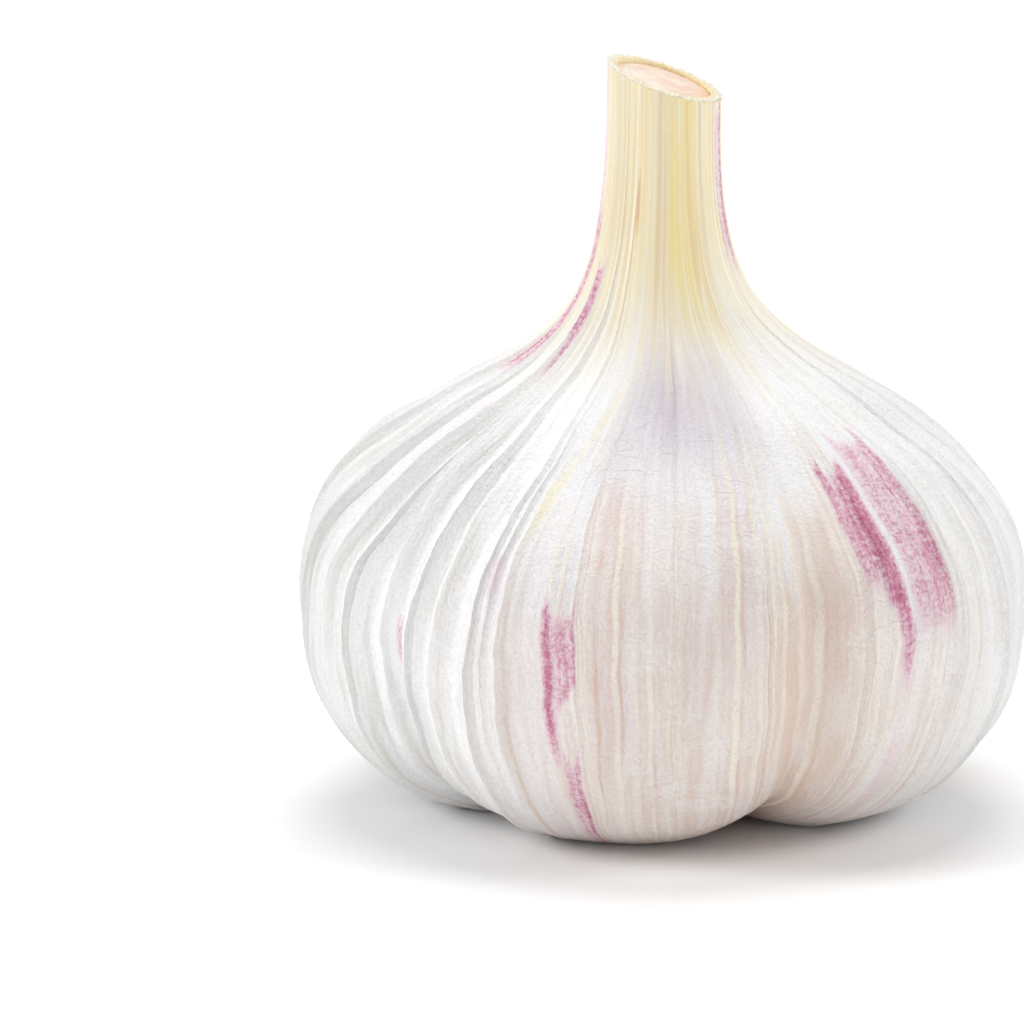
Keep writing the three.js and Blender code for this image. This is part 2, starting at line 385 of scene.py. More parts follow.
rose = 0 * place
for mark in [
    streak(60.75, 62.2, 31, 57, 0.22, right_edge=0.55, tail=0.7, lean=0.4),
    streak(60.75, 62.15, 42, 56.5, 0.46, right_edge=0.3),
    streak(60.6, 60.95, 48, 57.5, 0.45),
    streak(62.4, 63.8, 36, 60.5, 0.37, right_edge=0.08, lean=0.15),
    streak(49.95, 51.1, 27, 43.5, 0.38, left_edge=0.45, right_edge=0.22, tail=-0.6),
    streak(50.3, 50.9, 8, 31, 0.4, right_edge=0.25),
    streak(35.4, 37.1, 64, 86, 0.52),
    streak(37.6, 38.0, 68, 80, 0.25),
    streak(39.7, 41.2, 66, 81, 0.5, tail=0.3),
    streak(43.5, 43.7, 34.5, 40, 0.42),
    streak(39.4, 39.9, 60, 63.5, 0.3),
    streak(47.4, 48.6, 42, 47.5, 0.12),
    streak(62.3, 62.7, 13, 32, 0.12),
    streak(55.3, 55.8, 5, 14, 0.3),
    streak(67.2, 70, 76, 98, 0.25, right_edge=0.3),
    streak(31.5, 36.5, 75, 98, 0.2),
    streak(9.0, 10.9, 28, 60, 0.35, right_edge=0.5, tail=0.6),
    streak(24.2, 25.1, 46, 72, 0.3, right_edge=0.3),
    streak(28.0, 29.8, 18, 45, 0.35, left_edge=0.5, tail=-0.5),
    streak(17.3, 18, 11, 27, 0.35, left_edge=0.3),
]:
    rose = np.maximum(rose, mark)
# The violet grey on the upper front is partly the skin's own tint and partly painted shade, where the middle
# gets less light than the shoulders. A weaker patch of it lies round the back.
lilac_and_shade = mound(place, 54.5, 7) * mound(distance, 66, 17) + 0.6 * mound(place, 12, 7) * mound(distance, 64, 12)
warm = 1.5 * mound(place, 56.5, 13) + 0.9 * mound(place, 20, 12) + 0.6 * mound(place, 3, 5)
warm = np.clip(warm, 0, 1) + 0.65 * mound(place, 59, 2.6)
scar = mound(place, 48.0, 1.1) * (1 - eased(np.abs(distance - 85.5), 0, 4))
warm = warm * (1 - eased(distance, 60, 66)) + scar
skin_marks_and_shade = vectors(rose, lilac_and_shade, warm)

# Painted shade. On the left flank it falls on the face of each fold that turns right, and on the right flank
# on the face that turns left, both away from the side lamps. There is less of it up the shoulder, and a patch
# of it is added on the left side of the neck.
azimuth = pleat_azimuth(np.floor(place))
folded = np.clip(fold_share(azimuth), 0, 1) * along(LAP_STRENGTH, distance)
share, valley = place - np.floor(place), valley_place(azimuth)
turned_right = (1 - eased(share, valley - 0.1, valley + 0.1)) * (1 - 0.6 * np.clip(share / valley, 0, 1))
turned_left = eased(share, valley - 0.1, valley + 0.1) * (1 - 0.6 * np.clip((1 - share) / (1 - valley), 0, 1))
painted_shade = np.clip(-np.cos(azimuth), 0, 1) * turned_right + 0.8 * np.clip(np.cos(azimuth), 0, 1) * turned_left
painted_shade = painted_shade * folded * np.clip(pleat_strength(np.floor(place) + (share > 0.5), distance), 0, 1)
painted_shade = painted_shade * (1 - 0.6 * eased(distance, 38, 56)) + 0.6 * mound(place, 42, 7) * eased(distance, 72, 86)
line_at = 49.1 + (distance - 51) * 0.05
yellowed = mound(place, line_at, 0.45) * eased(distance, 46, 53) * (1 - eased(distance, 66, 78))
neck_gold = mound(place, 57.5, 5) + 0.6 * mound(place, 50, 2.5) + 0.6 * mound(place, 22, 6)
yellowed = np.clip(yellowed + neck_gold * eased(distance, 68, 84), 0, 1)
skin_folds_shade_yellow = vectors(folded, painted_shade, yellowed)
skin_values = {"skin_place": skin_place, "skin_marks_and_shade": skin_marks_and_shade, "skin_folds_shade_yellow": skin_folds_shade_yellow}
papery_skin = band(
    "papery_skin",
    np.concatenate([tucked, skin_grid]),
    {key: with_tuck(values) for key, values in skin_values.items()},
)
print("papery skin:", count(papery_skin), "triangles; rose on", f"{(rose > 0.3).mean():.1%} of it")

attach(papery_skin, "root")
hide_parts("wrapped_bulb")

# %% [markdown]
# ## The cut rim
#
# Cut through, the neck shows that it is no single tube but several leaf bases, one inside the next, so the
# rim is a set of thin uneven ridges with a yellow wall inside. The rim could be the skin mesh given a
# thickness with Solidify, but that would make one flat lip. A band of its own starts on the skin's last ring
# and can carry the ridges.

# %% The rim of the neck
SOCKET_RADIUS = 4.2
LEAF_LAYERS = 4
LAYER_RISE = 0.13
WALL_DEPTH = 2.5
RIM_ROWS = 25

outer = skin_grid[-1, :, :2] - AXIS
outer_radius = np.hypot(outer[:, 0], outer[:, 1])
rim_turn = np.arctan2(outer[:, 1], outer[:, 0])
inward = np.linspace(0, 1, RIM_ROWS)[:, None]
radius = outer_radius * (1 - inward) + SOCKET_RADIUS * inward
layer = np.floor(inward * LEAF_LAYERS * 0.999)
in_layer = inward * LEAF_LAYERS - layer
uneven = 0.6 + 0.4 * np.sin(9 * rim_turn + 2.1 * layer) * np.sin(4 * rim_turn - 1.7 * layer)
frayed = 0.05 * np.sin(71 * rim_turn + 5 * layer) * np.sin(47 * rim_turn + 3 * layer)
ridge = LAYER_RISE * uneven * (1 - (2 * in_layer - 1) ** 2) + frayed
x, y = radius * np.cos(rim_turn), radius * np.sin(rim_turn)
rim_top = vectors(x + AXIS[0], y + AXIS[1], cut_height(x, y) + rim_tear * (1 - inward) + ridge)
down = np.linspace(0.15, 1, 6)[:, None]
x, y = x[-1], y[-1]
rim_wall = vectors(x + AXIS[0], y + AXIS[1], cut_height(x, y) + frayed[-1] - WALL_DEPTH * down)
rim_place = vectors(np.cos(rim_turn), np.sin(rim_turn), np.concatenate([inward, 1 + down]))
cut_rim = band("cut_rim", np.concatenate([rim_top, rim_wall]), {"rim_place": rim_place})
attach(cut_rim, "root")
print("cut rim:", count(cut_rim), "triangles")

# %% [markdown]
# ## Frayed fibres
#
# A knife pulls a few fibres out of the rim, most of them where it left the neck, at the low end of the cut.
# A particle system would scatter hairs evenly and has to be converted before it can be exported. A short
# loop with a seeded random generator bends each fibre its own way and gives the same ones on every run.

# %% Fibres on the rim
FIBRES = 240
rng = np.random.default_rng(11)


def tube(path, radii, sides=3):
    """Points and faces of a thin tube along a path, closed to a tip at its end."""
    path, radii = np.asarray(path, float), np.asarray(radii, float)
    way = np.gradient(path, axis=0)
    way /= np.linalg.norm(way, axis=1)[:, None]
    across = np.cross(way, [0.31, 0.17, 0.93])
    across /= np.linalg.norm(across, axis=1)[:, None]
    up = np.cross(way, across)
    turn = np.arange(sides) / sides * TURN
    ring = np.cos(turn)[None, :, None] * across[:, None] + np.sin(turn)[None, :, None] * up[:, None]
    points = path[:, None] + radii[:, None, None] * ring
    faces = ring_faces(len(path), sides) + [list(range(sides))[::-1]]
    last = (len(path) - 1) * sides
    return points.reshape(-1, 3), faces + [[last + i for i in range(sides)]]


def joined(parts):
    """One set of points and faces from many."""
    points, faces, first = [], [], 0
    for some_points, some_faces in parts:
        points.append(some_points)
        faces += [[first + i for i in face] for face in some_faces]
        first += len(some_points)
    return np.concatenate(points), faces


strands = []
for i in range(FIBRES):
    low_end = i % 3 > 0
    azimuth = rng.normal(-0.35, 0.55) if low_end else rng.uniform(-math.pi, math.pi)
    k = int(np.argmin(np.abs(np.angle(np.exp(1j * (rim_turn - azimuth))))))
    start = skin_grid[-1, k].copy()
    outwards = np.array([math.cos(azimuth), math.sin(azimuth), 0])
    start -= outwards * rng.uniform(0, 0.45)
    reach = rng.uniform(0.25, 0.6) if low_end else rng.uniform(0.15, 0.35)
    lean = outwards * rng.uniform(-0.4, 0.7) + np.array([-outwards[1], outwards[0], 0]) * rng.normal(0, 0.7)
    curl = np.array([*rng.normal(0, 0.35, 2), rng.uniform(-0.6, 0)])
    t = np.linspace(0, 1, 5)[:, None]
    path = start - [0, 0, 0.12] + reach * (t * (np.array([0, 0, 0.75]) + lean) + t * t * curl)
    strands.append(tube(path, 0.045 * (1 - 0.6 * t[:, 0]) * rng.uniform(0.6, 1.3)))
frayed_fibres = new_piece("frayed_fibres", *joined(strands))
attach(frayed_fibres, "root")
print("frayed fibres:", len(strands), "of them,", count(frayed_fibres), "triangles")

# %% [markdown]
# ## The cut end of the flower stalk
#
# Inside the leaf bases stands the round flower stalk. Its cut end is soft pith: a nearly flat disc that
# swells a little, with a few faint turns in it, sunk just below the rim. A picture of rings on a flat face
# would be lost in a low light. A disc of rings carries that relief in its shape, and a short side wall takes
# it down into the dark of the socket.

# %% The stalk
STALK_RADIUS = 4.18
STALK_SUNK = 0.24
STALK_COLUMNS = 180
STALK_RINGS = 34


def disc(name, grid, centre, face_up, finish_values=None):
    """A band whose first ring is closed with one more point in its middle."""
    rows, columns = grid.shape[:2]
    points = np.vstack([grid.reshape(-1, 3), [centre]])
    hub = rows * columns
    faces = ring_faces(rows, columns) + [[hub, (c + 1) % columns, c] for c in range(columns)]
    if face_up:
        faces = [face[::-1] for face in faces]
    values = {
        key: np.vstack([value.reshape(-1, 3), [value[0, :, :].mean(0)]])
        for key, value in (finish_values or {}).items()
    }
    return new_piece(name, points, faces, values)


turn, share = np.meshgrid(np.arange(STALK_COLUMNS) / STALK_COLUMNS * TURN, np.linspace(0.02, 1, STALK_RINGS))
swirl = np.sin(17 * share + 1.5 * np.sin(turn) + 0.8 * np.sin(3 * turn + 9 * share))
relief = 0.16 * (1 - share**2) + 0.032 * swirl - 0.08 * share**14
x, y = STALK_RADIUS * share * np.cos(turn), STALK_RADIUS * share * np.sin(turn)
stalk_top = vectors(x + AXIS[0], y + AXIS[1], cut_height(x, y) - STALK_SUNK + relief)
side = [stalk_top[-1] - [0, 0, drop] for drop in (0.3, 1, 2)]
stalk_grid = np.concatenate([stalk_top, side])
stalk_share = np.concatenate([share, 1 + np.array([[0.05], [0.2], [0.4]]) + 0 * turn[:3]])
stalk_place = vectors(np.cos(turn[0]) * stalk_share, np.sin(turn[0]) * stalk_share, stalk_share)
stalk_end = disc("stalk_end", stalk_grid, stalk_top[0].mean(0), True, {"stalk_place": stalk_place})
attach(stalk_end, "root")
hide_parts("flower_stalk")
print("stalk end:", count(stalk_end), "triangles")

# %% [markdown]
# ## The root plate
#
# Underneath, the bulb ends in a disc of cork as wide as a thumbnail, rough as coarse bread, with the
# trimmed roots still standing round its edge as jagged little crowns. A texture alone would look flat from
# below, so the grain is pushed into the mesh with fractal noise, and every stub is a short tube of its own.

# %% The face of the root plate
from mathutils import Vector, noise

PLATE_AXIS = (plate_low + plate_high)[:2] / 2
PLATE_RADIUS = 7.35
PLATE_FACE = plate_low[2]
PLATE_TOP = plate_high[2]
PLATE_COLUMNS = 220


def rough(points, size):
    """Fractal noise, one value a point, with lumps of about the given size in mm."""
    roughness, finer_by, octaves = 0.9, 2.1, 4
    flat_list = points.reshape(-1, 3)
    values = [noise.fractal(Vector(p) / size, roughness, finer_by, octaves) for p in flat_list]
    return np.array(values).reshape(points.shape[:-1])


plate_line = [
    (0.15, 0.35), (3.5, 0.25), (6, 0.05), (6.9, 0.3),
    (PLATE_RADIUS, 1.0), (PLATE_RADIUS, 1.9), (6.9, 2.4),
]  # radius, and height above the plate's face
plate_radius, plate_rise = spline(plate_line, 10).T[..., None]
turn = np.arange(PLATE_COLUMNS) / PLATE_COLUMNS * TURN
wobble = 1 + 0.02 * np.sin(3 * turn + 1) + 0.015 * np.sin(7 * turn)
x, y = plate_radius * wobble * np.cos(turn), plate_radius * wobble * np.sin(turn)
plate_grid = vectors(PLATE_AXIS[0] + x, PLATE_AXIS[1] + y, PLATE_FACE + plate_rise)
pits = np.clip(rough(plate_grid, 0.9), -0.7, 0.9)
plate_grid[..., 2] -= 0.3 * pits * np.clip(1.6 - plate_rise, 0, 1)
plate_grid[..., 2] = np.clip(plate_grid[..., 2], 0.45, PLATE_TOP)
plate_place = vectors(plate_radius / PLATE_RADIUS, pits, plate_rise)
root_cork = disc("root_cork", plate_grid, plate_grid[0].mean(0), False, {"cork_place": plate_place})
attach(root_cork, "root")
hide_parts("root_plate")
print("root plate:", count(root_cork), "triangles")

# %% Stubs of the roots
STUB_RINGS = [(38, 6.15, 0.55, 0.95), (44, 6.7, 1.15, 0.5), (48, 7.0, 1.8, 0.15)]  # count, radius, rise, lean
STUB_SIDES = 8
stubs, stub_values = [], []
for ring_count, ring_radius, rise, lean in STUB_RINGS:
    for i in range(ring_count):
        azimuth = (i + rng.uniform(-0.35, 0.35)) / ring_count * TURN
        out = np.array([math.cos(azimuth), math.sin(azimuth), 0])
        aslant = np.array([-out[1], out[0], 0]) * rng.normal(0, 0.25)
        way = out * math.cos(lean) + aslant + [0, 0, -math.sin(lean)]
        start = np.array([*PLATE_AXIS, PLATE_FACE + rise + rng.normal(0, 0.12)]) + out * (ring_radius - 0.5)
        reach = rng.uniform(0.95, 1.75)
        thick = rng.uniform(0.24, 0.42)
        t = np.array([0, 0.3, 0.6, 0.85, 1.0])
        path = start + reach * t[:, None] * way
        points, faces = tube(path, thick * np.array([1.1, 1, 0.85, 1.0, 1.15]), STUB_SIDES)
        crown = points[-STUB_SIDES:]
        crown += way * rng.uniform(-0.18, 0.22, STUB_SIDES)[:, None]
        points[:, 2] = np.maximum(points[:, 2], 0.3)
        # The end is hollow: its last ring closes on a sunken middle.
        middle = crown.mean(0) - way * 0.25
        hub = len(points)
        edge = hub - STUB_SIDES
        hollow = [[hub, edge + k, edge + (k + 1) % STUB_SIDES] for k in range(STUB_SIDES)]
        faces = faces[:-1] + hollow
        stubs.append((np.vstack([points, [middle]]), faces))
        tone = rng.uniform(0, 1)
        along_stub = np.r_[np.repeat(t, STUB_SIDES), 0.5]
        stub_values.append(vectors(along_stub, tone, 0))
root_stubs = new_piece("root_stubs", *joined(stubs), {"stub_place": np.concatenate(stub_values)})
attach(root_stubs, "root")
print("root stubs:", len(stubs), "of them,", count(root_stubs), "triangles")

# %% Fibrils that lie on the skin round the plate
FIBRILS = 260
hairs = []
for i in range(FIBRILS):
    start = rng.uniform(0, PLEATS)
    reach = rng.uniform(2.5, 9)
    t = np.linspace(0, 1, 9)
    sideways = rng.normal(0, 0.35) * t + rng.normal(0, 0.15) * np.sin(5 * t)
    places = np.mod(start + sideways, PLEATS)
    path = skin_point(places, 0.3 + reach * t, lift=0.03 + 0.12 * rng.uniform(0, 1) * np.sin(math.pi * t))
    hairs.append(tube(path, 0.045 * (1 - 0.75 * t) * rng.uniform(0.7, 1.3)))
root_fibrils = new_piece("root_fibrils", *joined(hairs))
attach(root_fibrils, "root")
print("root fibrils:", len(hairs), "of them,", count(root_fibrils), "triangles")

# %% [markdown]
# ## Shader maths in Python
#
# Blender's materials are graphs, and a formula of ten terms is a thicket of Math nodes. Here a socket is
# wrapped in a small class whose operators add those nodes, so that a mask can be written as it would be on
# paper. One more method adds every other kind of node: its settings go in first, then its sockets.

# %% Wires and finishes
class Wire:
    """A node's output that Python's operators can work on."""

    def __init__(self, finish, socket):
        self.finish, self.socket = finish, socket

    def maths(self, operation, *values, clamp=False):
        settings = {"operation": operation, "use_clamp": clamp}
        return self.finish.node("ShaderNodeMath", settings, dict(enumerate(values)))

    def __add__(self, other):
        return self.maths("ADD", self, other)

    def __sub__(self, other):
        return self.maths("SUBTRACT", self, other)

    def __rsub__(self, other):
        return self.maths("SUBTRACT", other, self)

    def __mul__(self, other):
        return self.maths("MULTIPLY", self, other)

    def __truediv__(self, other):
        return self.maths("DIVIDE", self, other)

    def __abs__(self):
        return self.maths("ABSOLUTE", self)

    __radd__ = __add__
    __rmul__ = __mul__

    def clamped(self):
        return self.maths("ADD", self, 0.0, clamp=True)

    def ease(self, start, end):
        """0 before start and 1 after end, with a smooth step between them."""
        settings = {"interpolation_type": "SMOOTHSTEP", "clamp": True}
        sockets = {"Value": self, "From Min": start, "From Max": end}
        return self.finish.node("ShaderNodeMapRange", settings, sockets)


class Finish:
    """A material built on the Principled shader."""

    def __init__(self, name, **constants):
        self.material = bpy.data.materials.new(name)
        self.material.use_nodes = True
        self.tree = self.material.node_tree
        self.shader = self.tree.nodes["Principled BSDF"]
        for key, value in constants.items():
            self.shader.inputs[key.replace("_", " ")].default_value = value

    def node(self, kind, settings=None, sockets=None, out=0):
        node = self.tree.nodes.new(kind)
        for key, value in (settings or {}).items():
            setattr(node, key, value)
        for key, value in (sockets or {}).items():
            self.plug(self.find(node.inputs, key), value)
        if isinstance(out, tuple):
            return [Wire(self, self.find(node.outputs, key)) for key in out]
        return Wire(self, self.find(node.outputs, out))

    @staticmethod
    def find(sockets, key):
        if isinstance(key, int):
            return sockets[key]
        return next(s for s in sockets if key in (s.identifier, s.name))

    def plug(self, socket, value):
        if isinstance(value, Wire):
            self.tree.links.new(value.socket, socket)
        else:
            socket.default_value = value

    def set(self, name, value):
        self.plug(self.shader.inputs[name], value)

    def mix(self, base, colour, share):
        settings = {"data_type": "RGBA", "clamp_factor": True}
        sockets = {"Factor_Float": share, "A_Color": base, "B_Color": colour}
        return self.node("ShaderNodeMix", settings, sockets, out="Result_Color")

    def stretched(self, vector, scale):
        return self.node("ShaderNodeVectorMath", {"operation": "MULTIPLY"}, {0: vector, 1: scale})

    def noise(self, vector, size=1.0, detail=2.0, rough=0.5):
        """Noise from about 0.2 to 0.8, with features of the given size in the vector's units."""
        sockets = {"Vector": vector, "Scale": 1 / size, "Detail": detail, "Roughness": rough}
        return self.node("ShaderNodeTexNoise", {"noise_dimensions": "3D"}, sockets)

    def noted(self, attribute):
        """Three numbers that the mesh keeps at each point, as one vector."""
        return self.node("ShaderNodeAttribute", {"attribute_name": attribute}, out="Vector")

    def parts(self, vector):
        return self.node("ShaderNodeSeparateXYZ", {}, {0: vector}, out=("X", "Y", "Z"))

    def here(self):
        return self.node("ShaderNodeTexCoord", out="Object")

    def raise_by(self, height, distance_mm, strength=1.0):
        sockets = {"Strength": strength, "Distance": distance_mm * MM, "Height": height}
        self.set("Normal", self.node("ShaderNodeBump", {}, sockets))

    def wear(self, *pieces):
        for piece in pieces:
            piece.data.materials.clear()
            piece.data.materials.append(self.material)
        print(self.material.name, "has", len(self.tree.nodes), "nodes")


def rgb(red, green, blue):
    """A colour as it is seen on a screen, 0 to 255, turned into the light that a shader works in."""
    screen = np.array([red, green, blue]) / 255
    light = np.where(screen <= 0.04045, screen / 12.92, ((screen + 0.055) / 1.055) ** 2.4)
    return (*light.tolist(), 1.0)


# %% [markdown]
# ## The finish of the skin
#
# The real skin is a dry leaf: straight fibres run up it, a cream vein stands on each crest with a tan thread
# beside it, and the panels between are white where they are thick and a warm pinkish beige where they are
# thin. Every mark follows the pleats. So the mesh keeps the place on the skin at each point, as a direction
# for "so many pleats round" and a distance for "so far up", and the shader works out the rest from these.

# %% Where a point of the skin is
WHITE = rgb(249, 250, 251)
COOL = rgb(230, 230, 234)
SHADED = rgb(217, 220, 216)
CREASE_SHADE = rgb(212, 213, 206)
WARM = rgb(236, 222, 212)
PINKISH = rgb(226, 204, 202)
BEIGE = rgb(228, 207, 195)
PEACH = rgb(218, 188, 168)
VEIN = rgb(250, 245, 230)
YELLOW = rgb(246, 234, 178)
TAN = rgb(214, 178, 146)
PINK_WASH = rgb(234, 200, 214)
ROSE = rgb(204, 122, 154)
DEEP_ROSE = rgb(164, 62, 104)
LILAC_AND_SHADE = rgb(196, 186, 196)
NECK_CREAM = rgb(247, 234, 196)
NECK_WHITE = rgb(255, 253, 244)
NECK_YELLOW = rgb(254, 232, 142)
NECK_GREEN = rgb(244, 240, 212)
NECK_TAN = rgb(240, 214, 176)
NECK_VALLEY_SHADE = rgb(236, 220, 186)
NECK_SHADE = rgb(224, 211, 178)
SCAR = rgb(222, 164, 112)
ROOT_BROWN = rgb(196, 150, 104)
FELT_GREY = rgb(164, 160, 160)

skin = Finish("dry garlic skin", Roughness=0.5, IOR=1.42)
spot = skin.noted("skin_place")
turn_cos, turn_sin, up = skin.parts(spot)
rose_here, lilac_and_shade_here, warm_here = skin.parts(skin.noted("skin_marks_and_shade"))
folded_here, painted_shade_here, yellow_here = skin.parts(skin.noted("skin_folds_shade_yellow"))
turned = turn_sin.maths("ARCTAN2", turn_sin, turn_cos)
pleat = turned.maths("WRAP", turned, TURN, 0.0) * (PLEATS / TURN)
number = pleat.maths("FLOOR", pleat)
share = pleat - number


def chances(offset):
    """A number from 0 to 1 for every pleat."""
    return skin.node("ShaderNodeTexWhiteNoise", {"noise_dimensions": "1D"}, {"W": number + offset})


def fibres(per_turn, long_mm):
    """Streaks along the skin: so many round it, and so long."""
    k = per_turn / TURN
    return skin.noise(skin.stretched(spot, (k, k, 1 / long_mm)))


def panel_noise(step, long_mm, detail):
    """Noise that jumps from panel to panel, and changes slowly along each."""
    vector = skin.node("ShaderNodeCombineXYZ", {}, {0: number * step, 1: up / long_mm})
    return skin.noise(vector, detail=detail)


chance, other_chance, third_chance = chances(0), chances(200), chances(500)
fine_fibre = fibres(620, 5)
mid_fibre = fibres(230, 12)
broad_fibre = fibres(80, 16)
felt = skin.noise(skin.here(), 0.3 * MM, rough=0.6)
cloud = skin.noise(skin.here(), 9 * MM)
wrinkled = fibres(34, 1.6)

# %% [markdown]
# ## Panels, veins and threads
#
# The warm zone has an uneven upper edge. Each panel gets its own tone from a random number for its pleat. A
# vein is the strip close to a crest, bold on some and faint on others, and the tan thread is a narrow line
# just beside it, in some pleats only and mostly low down. On the folds the lit faces get a painted highlight,
# the faces turned from the lamps get painted shade, and grey fibre lines are painted shade of fine creases.

# %% Panels and veins
patchy = 16 * (cloud - 0.5) + 14 * (chance - 0.5) + 16 * (broad_fibre - 0.5)
warm_low = 1 - (up + patchy).ease(38, 58)
warm = (warm_low * warm_here + 0.08).clamped() * (0.85 + 1.4 * (mid_fibre - 0.5))
tone = panel_noise(7.3, 26, detail=1)

colour = skin.mix(WHITE, COOL, (cloud.ease(0.35, 0.7) * 0.5 + chance * 0.4) * (1 - warm))
colour = skin.mix(colour, skin.mix(WARM, PINKISH, tone.ease(0.35, 0.65)), warm)
streaks = (fine_fibre * 0.6 + mid_fibre * 0.4).ease(0.45, 0.6)
colour = skin.mix(colour, BEIGE, streaks * (0.1 + 0.5 * warm))
colour = skin.mix(colour, PEACH, (warm_here - 1).clamped() * warm_low)
colour = skin.mix(colour, WHITE, (fine_fibre * 0.4 + broad_fibre * 0.6).ease(0.5, 0.64) * 0.3)
thick_patch = (wrinkled + 0.5 * (felt - 0.5)).ease(0.5, 0.7) * cloud.ease(0.42, 0.6)
colour = skin.mix(colour, WHITE, thick_patch * 0.28)
# Painted highlight on the lit faces of the folds, then painted shade on the faces turned from the lamps.
colour = skin.mix(colour, WHITE, folded_here * (1 - painted_shade_here.ease(0.0, 0.3)) * 0.7)
colour = skin.mix(colour, SHADED, painted_shade_here * (0.6 + mid_fibre * 0.4))
# Grey fibre lines on the folds: painted shade of fine creases.
crease_shade = (fine_fibre * 0.35 + mid_fibre * 0.65).ease(0.5, 0.64)
colour = skin.mix(colour, CREASE_SHADE, crease_shade * folded_here * 0.5)


def vein_at(middle, width, strength):
    """A thin line along a panel that wanders a little."""
    off = abs(share - middle + 0.25 * (broad_fibre - 0.5))
    return (1 - (off + 0.08 * (mid_fibre - 0.5)).ease(width * 0.3, width)) * strength


to_crest = 0.5 - abs(share - 0.5)
flat = 1 - 0.85 * folded_here.clamped()
between = 0.34 + 0.3 * other_chance
fading = panel_noise(3.1, 11, detail=2).ease(0.36, 0.6)
vein = vein_at(0.0, 0.15, 0.3 + 0.7 * chance) + vein_at(1.0, 0.15, 0.3 + 0.7 * chances(1))
vein = vein + vein_at(between, 0.1, third_chance.ease(0.3, 0.7))
vein = vein.clamped() * (0.35 + 0.65 * fading) * (0.6 + 1.6 * (mid_fibre - 0.4)).clamped()
colour = skin.mix(colour, VEIN, vein * flat * 0.85)
yellow_vein = vein * up.ease(30, 62) * chances(77).ease(0.4, 0.8) * flat * 0.4
colour = skin.mix(colour, YELLOW, yellow_vein + yellow_here * broad_fibre.ease(0.35, 0.6) * 0.55)

low = 1 - up.ease(30, 58)
thread = vein_at(0.12 + 0.1 * other_chance, 0.07, other_chance.ease(0.2, 0.6))
thread = thread + vein_at(between + 0.12, 0.06, third_chance.ease(0.4, 0.8))
thread = thread.clamped() * low * flat * (fine_fibre * 0.5 + tone * 0.7).ease(0.45, 0.72)
colour = skin.mix(colour, TAN, thread * 0.65)

# %% [markdown]
# ## Pigment, neck and underside
#
# Fibres and speckles are added to a streak's soft box before it is hardened, which leaves its sides sharp and
# its ends ragged. Going up the neck the leaves are thick, moist and cream-yellow with tan fibres, with painted
# shade in the valleys between their crests and on their left side. Round the root plate the skin is stained
# purple and brown.

# %% Pigment, neck and underside
grain = skin.noise(skin.here(), 0.35 * MM, rough=0.7)
crossed = fibres(60, 0.6)
ragged = 0.6 * (fine_fibre - 0.5) + 1.5 * (grain - 0.5) + 0.5 * (crossed - 0.5)
ragged = ragged + 0.8 * (mid_fibre - 0.5) + 0.5 * (cloud - 0.5)
dense = rose_here + ragged * rose_here.ease(0.02, 0.3)
colour = skin.mix(colour, PINK_WASH, rose_here.ease(0.0, 0.25) * 0.6)
colour = skin.mix(colour, ROSE, dense.ease(0.05, 0.8) * 0.9)
colour = skin.mix(colour, DEEP_ROSE, dense.ease(0.6, 1.2) * 0.8)

# Violet grey: the skin's own tint, and painted shade on the upper front.
colour = skin.mix(colour, LILAC_AND_SHADE, lilac_and_shade_here * (0.5 + 0.7 * mid_fibre))
broad_neck, neck_fibre = fibres(14, 40), fibres(70, 36)
neck_line = 1 - abs(fibres(40, 70) - 0.5).ease(0.0, 0.03)
yellow = (up + 26 * (neck_fibre - 0.5) + 6 * yellow_here).ease(64, 84) * (1 - (3 * rose_here).clamped())
neck = skin.mix(NECK_CREAM, NECK_YELLOW, (yellow_here + 0.2) * (broad_neck + neck_fibre).ease(0.7, 1.1))
neck = skin.mix(neck, NECK_TAN, neck_fibre.ease(0.5, 0.66) * 0.55)
neck = skin.mix(neck, NECK_GREEN, fibres(75, 40).ease(0.5, 0.66) * 0.4)
# Painted shade in the valleys between the crests of the neck.
valley_shade = to_crest.ease(0.2, 0.5) * (0.7 - 0.5 * yellow_here)
neck = skin.mix(neck, NECK_VALLEY_SHADE, valley_shade * neck_fibre.ease(0.35, 0.6))
neck = skin.mix(neck, NECK_WHITE, neck_line * (0.3 + 0.5 * fading) * (1 - yellow_here * 0.5))
ridge_line = (1 - to_crest.ease(0.02, 0.28)) * chances(900).ease(0.35, 0.6)
ridge_line = ridge_line * (0.35 + 0.5 * neck_fibre.ease(0.4, 0.6))
neck = skin.mix(neck, NECK_WHITE, ridge_line * (0.85 - 0.4 * yellow_here))
# Painted shade on the left side of the neck and on the fold faces turned from the lamps.
neck = skin.mix(neck, NECK_SHADE, painted_shade_here)
neck = skin.mix(neck, SCAR, (warm_here * 1.5 + neck_fibre - 0.5).clamped() * up.ease(72, 76) * 0.7)
neck = skin.mix(neck, NECK_TAN, fibres(130, 9).ease(0.5, 0.7) * 0.2)
colour = skin.mix(colour, neck, yellow * 0.92)
stain = (1 - up.ease(3, 13)) * (cloud + mid_fibre).ease(0.75, 1.2)
colour = skin.mix(colour, DEEP_ROSE, stain * 0.5)
colour = skin.mix(colour, ROOT_BROWN, (1 - up.ease(0, 5)) * 0.6)
slender = up.ease(58, 82)
# Grey where the felt noise is low, in the same places that the bump sinks, with less of it up the neck.
felt_grey = (0.58 - felt).clamped() * (0.6 - 0.5 * slender)
skin.set("Base Color", skin.mix(colour, FELT_GREY, felt_grey))

# %% [markdown]
# ## Relief finer than the mesh
#
# Fibres, felt and the small creases across a panel are too fine for vertices, so they go into a bump. The
# creases are the thin lines where a stretched noise passes through its middle value.

